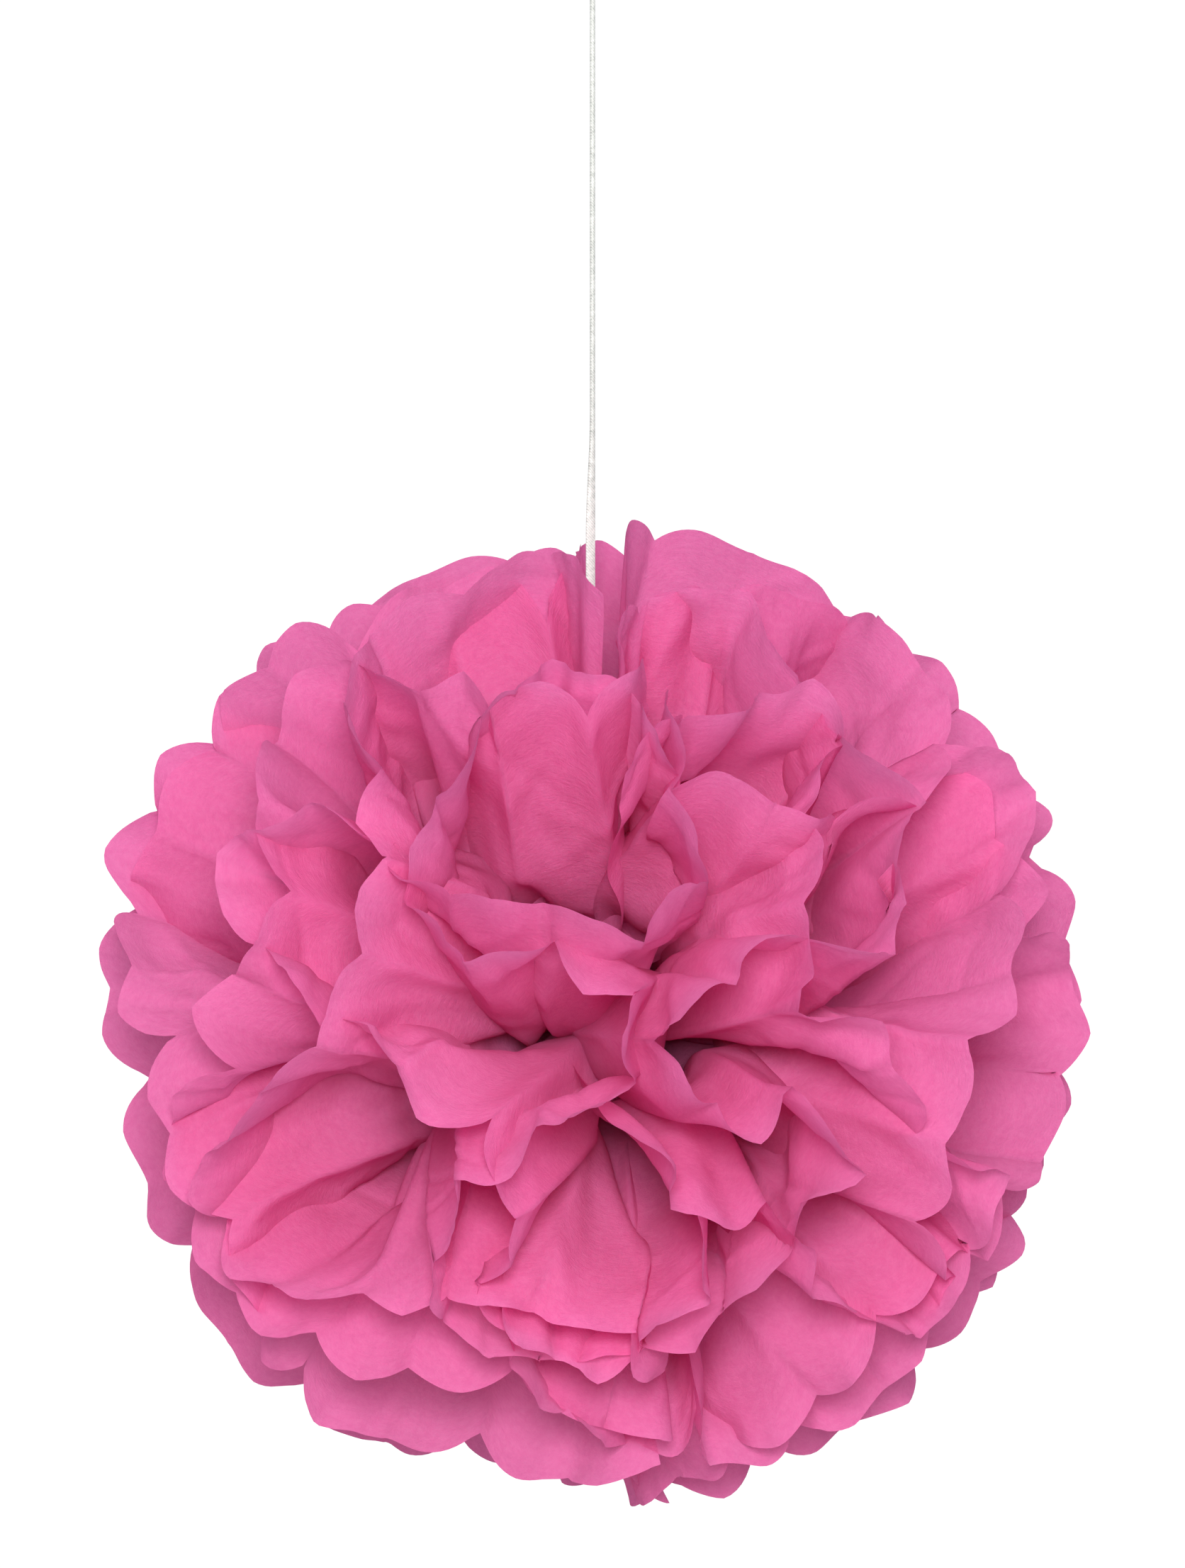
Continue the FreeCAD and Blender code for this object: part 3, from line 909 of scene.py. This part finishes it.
def satin_ribbon():
    """White woven ribbon: grey-green and mottled at random, with painted highlights along fine
    slanting threads.
    """
    nodes = Nodes("satin_ribbon")
    place = nodes.add("ShaderNodeTexCoord").outputs["Object"]
    mottle = nodes.noise(place, 420, detail=3, roughness=0.7)
    threads_and_highlights = nodes.add(
        "ShaderNodeTexWave",
        {"wave_type": "BANDS", "bands_direction": "DIAGONAL"},
        Vector=place,
        Scale=520.0,
        Distortion=1.5,
        Detail=2.0,
    ).outputs["Fac"]
    # the ribbon's own grey-green mottle, darker and lighter at random
    colour = nodes.ramp(mottle, ((0.32, RIBBON_DARK_MOTTLE), (0.68, RIBBON_LIGHT_MOTTLE)))
    # painted highlight: the slanting thread bands are lightened towards a paler grey; the same bands
    # also bump the surface
    highlighted = nodes.mixed(nodes.math("MULTIPLY", threads_and_highlights, 0.35), colour, RIBBON_THREAD_HIGHLIGHT)
    bump = nodes.bump(0.5, THREAD_DEPTH, threads_and_highlights)
    cloth = nodes.add("ShaderNodeBsdfPrincipled", Base_Color=highlighted, Roughness=0.42, Normal=bump)
    cloth.inputs["Sheen Weight"].default_value = 0.3
    return nodes.finish(cloth.outputs["BSDF"])


def coated_wire():
    """Soft wire in white enamel, a little scuffed."""
    nodes = Nodes("coated_wire")
    place = nodes.add("ShaderNodeTexCoord").outputs["Object"]
    scuffs = nodes.noise(place, 900, detail=4, roughness=0.6)
    colour = nodes.ramp(scuffs, ((0.35, SCUFFED_ENAMEL), (0.6, ENAMEL)))
    rough = nodes.math("ADD", nodes.math("MULTIPLY", scuffs, 0.3), 0.2)
    bump = nodes.bump(0.3, SCUFF_DEPTH, scuffs)
    enamel = nodes.add("ShaderNodeBsdfPrincipled", Base_Color=colour, Roughness=rough, Normal=bump)
    return nodes.finish(enamel.outputs["BSDF"])


def pale_floor():
    nodes = Nodes("pale_floor")
    place = nodes.add("ShaderNodeTexCoord").outputs["Object"]
    cloud = nodes.noise(place, 3, detail=2)
    colour = nodes.ramp(cloud, ((0.3, FLOOR_DARK), (0.7, FLOOR_LIGHT)))
    matt = nodes.add("ShaderNodeBsdfPrincipled", Base_Color=colour, Roughness=0.9)
    return nodes.finish(matt.outputs["BSDF"])


# ------------------------------------------------------------------ studio

VIEW_TURN = math.radians(8)  # the camera stands this far round from the flower's centre
VIEW_DISTANCE = 2.5
FRAME_HEIGHT = 0.629  # what the picture takes in at the ball
AIM_ABOVE_BALL = 0.0918
FLOOR_BELOW_BALL = 1.0
FLOOR_SIZE = 9.0
SENSOR = 36.0
ROOM_COLOUR = (0.89, 0.93, 1.0, 1)
ROOM_FROM_BELOW = 0.1
ROOM_FROM_ABOVE = 0.74
BACKDROP_STRENGTH = 1.05
LAMP_COLOUR = (1.0, 0.975, 0.95)
LAMPS = (  # name, place from the ball's centre, width across, watts
    ("key", (-0.4, -1.7, 1.7), 1.4, 8),
    ("front", (-0.35, -2.6, 0.5), 0.8, 87),
)


def toward(place, target):
    return (Vector(target) - Vector(place)).to_track_quat("-Z", "Y").to_euler()


def add_camera():
    camera = bpy.data.cameras.new("camera")
    camera.sensor_width = SENSOR
    camera.lens = SENSOR * VIEW_DISTANCE / FRAME_HEIGHT
    holder = bpy.data.objects.new("camera", camera)
    bpy.context.scene.collection.objects.link(holder)
    aim = BALL_CENTRE + Vector((0, 0, AIM_ABOVE_BALL))
    eye = Vector((-math.sin(VIEW_TURN), -math.cos(VIEW_TURN), 0)) * VIEW_DISTANCE
    holder.location = aim + eye
    holder.rotation_euler = toward(holder.location, aim)
    bpy.context.scene.camera = holder


def add_light(name, place, size, power):
    """A soft round lamp, a touch warmer than the room, that faces the ball."""
    lamp = bpy.data.lights.new(name, "AREA")
    lamp.color = LAMP_COLOUR
    lamp.shape = "DISK"
    lamp.size = size
    lamp.energy = power
    holder = bpy.data.objects.new(name, lamp)
    bpy.context.scene.collection.objects.link(holder)
    holder.location = BALL_CENTRE + Vector(place)
    holder.rotation_euler = toward(holder.location, BALL_CENTRE)


def add_sky():
    """A cool white room, seen brighter than it shines on the ball, and dimmer from below."""
    world = bpy.data.worlds.new("white_room")
    world.use_nodes = True
    nodes = world.node_tree.nodes
    links = world.node_tree.links
    room = nodes["Background"]
    room.inputs["Color"].default_value = ROOM_COLOUR
    direction = nodes.new("ShaderNodeTexCoord")
    split = nodes.new("ShaderNodeSeparateXYZ")
    rise = nodes.new("ShaderNodeMapRange")
    rise.inputs["From Min"].default_value = -1
    rise.inputs["To Min"].default_value = ROOM_FROM_BELOW
    rise.inputs["To Max"].default_value = ROOM_FROM_ABOVE
    links.new(direction.outputs["Generated"], split.inputs["Vector"])
    links.new(split.outputs["Z"], rise.inputs["Value"])
    links.new(rise.outputs["Result"], room.inputs["Strength"])
    backdrop = nodes.new("ShaderNodeBackground")
    backdrop.inputs["Strength"].default_value = BACKDROP_STRENGTH
    backdrop.inputs["Color"].default_value = (1, 1, 1, 1)
    path = nodes.new("ShaderNodeLightPath")
    mix = nodes.new("ShaderNodeMixShader")
    links.new(path.outputs["Is Camera Ray"], mix.inputs["Fac"])
    links.new(room.outputs["Background"], mix.inputs[1])
    links.new(backdrop.outputs["Background"], mix.inputs[2])
    links.new(mix.outputs["Shader"], nodes["World Output"].inputs["Surface"])
    bpy.context.scene.world = world


def add_floor():
    half = FLOOR_SIZE / 2
    corner = np.linspace(-half, half, 2)
    x, y = np.meshgrid(corner, corner)
    z = np.full_like(x, BALL_CENTRE.z - BALL_RADIUS - FLOOR_BELOW_BALL)
    floor = grid_mesh("floor", np.stack([x, y, z], axis=-1))
    floor.data.materials.append(pale_floor())


# ------------------------------------------------------------------ build

add_camera()
bpy.context.scene.view_settings.view_transform = "Standard"
build_ribbon(satin_ribbon())
build_sheets(tissue_paper())
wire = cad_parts["wire_tie"]
wire.data.materials.clear()
wire.data.materials.append(coated_wire())
add_floor()
add_sky()
for lamp in LAMPS:
    add_light(*lamp)
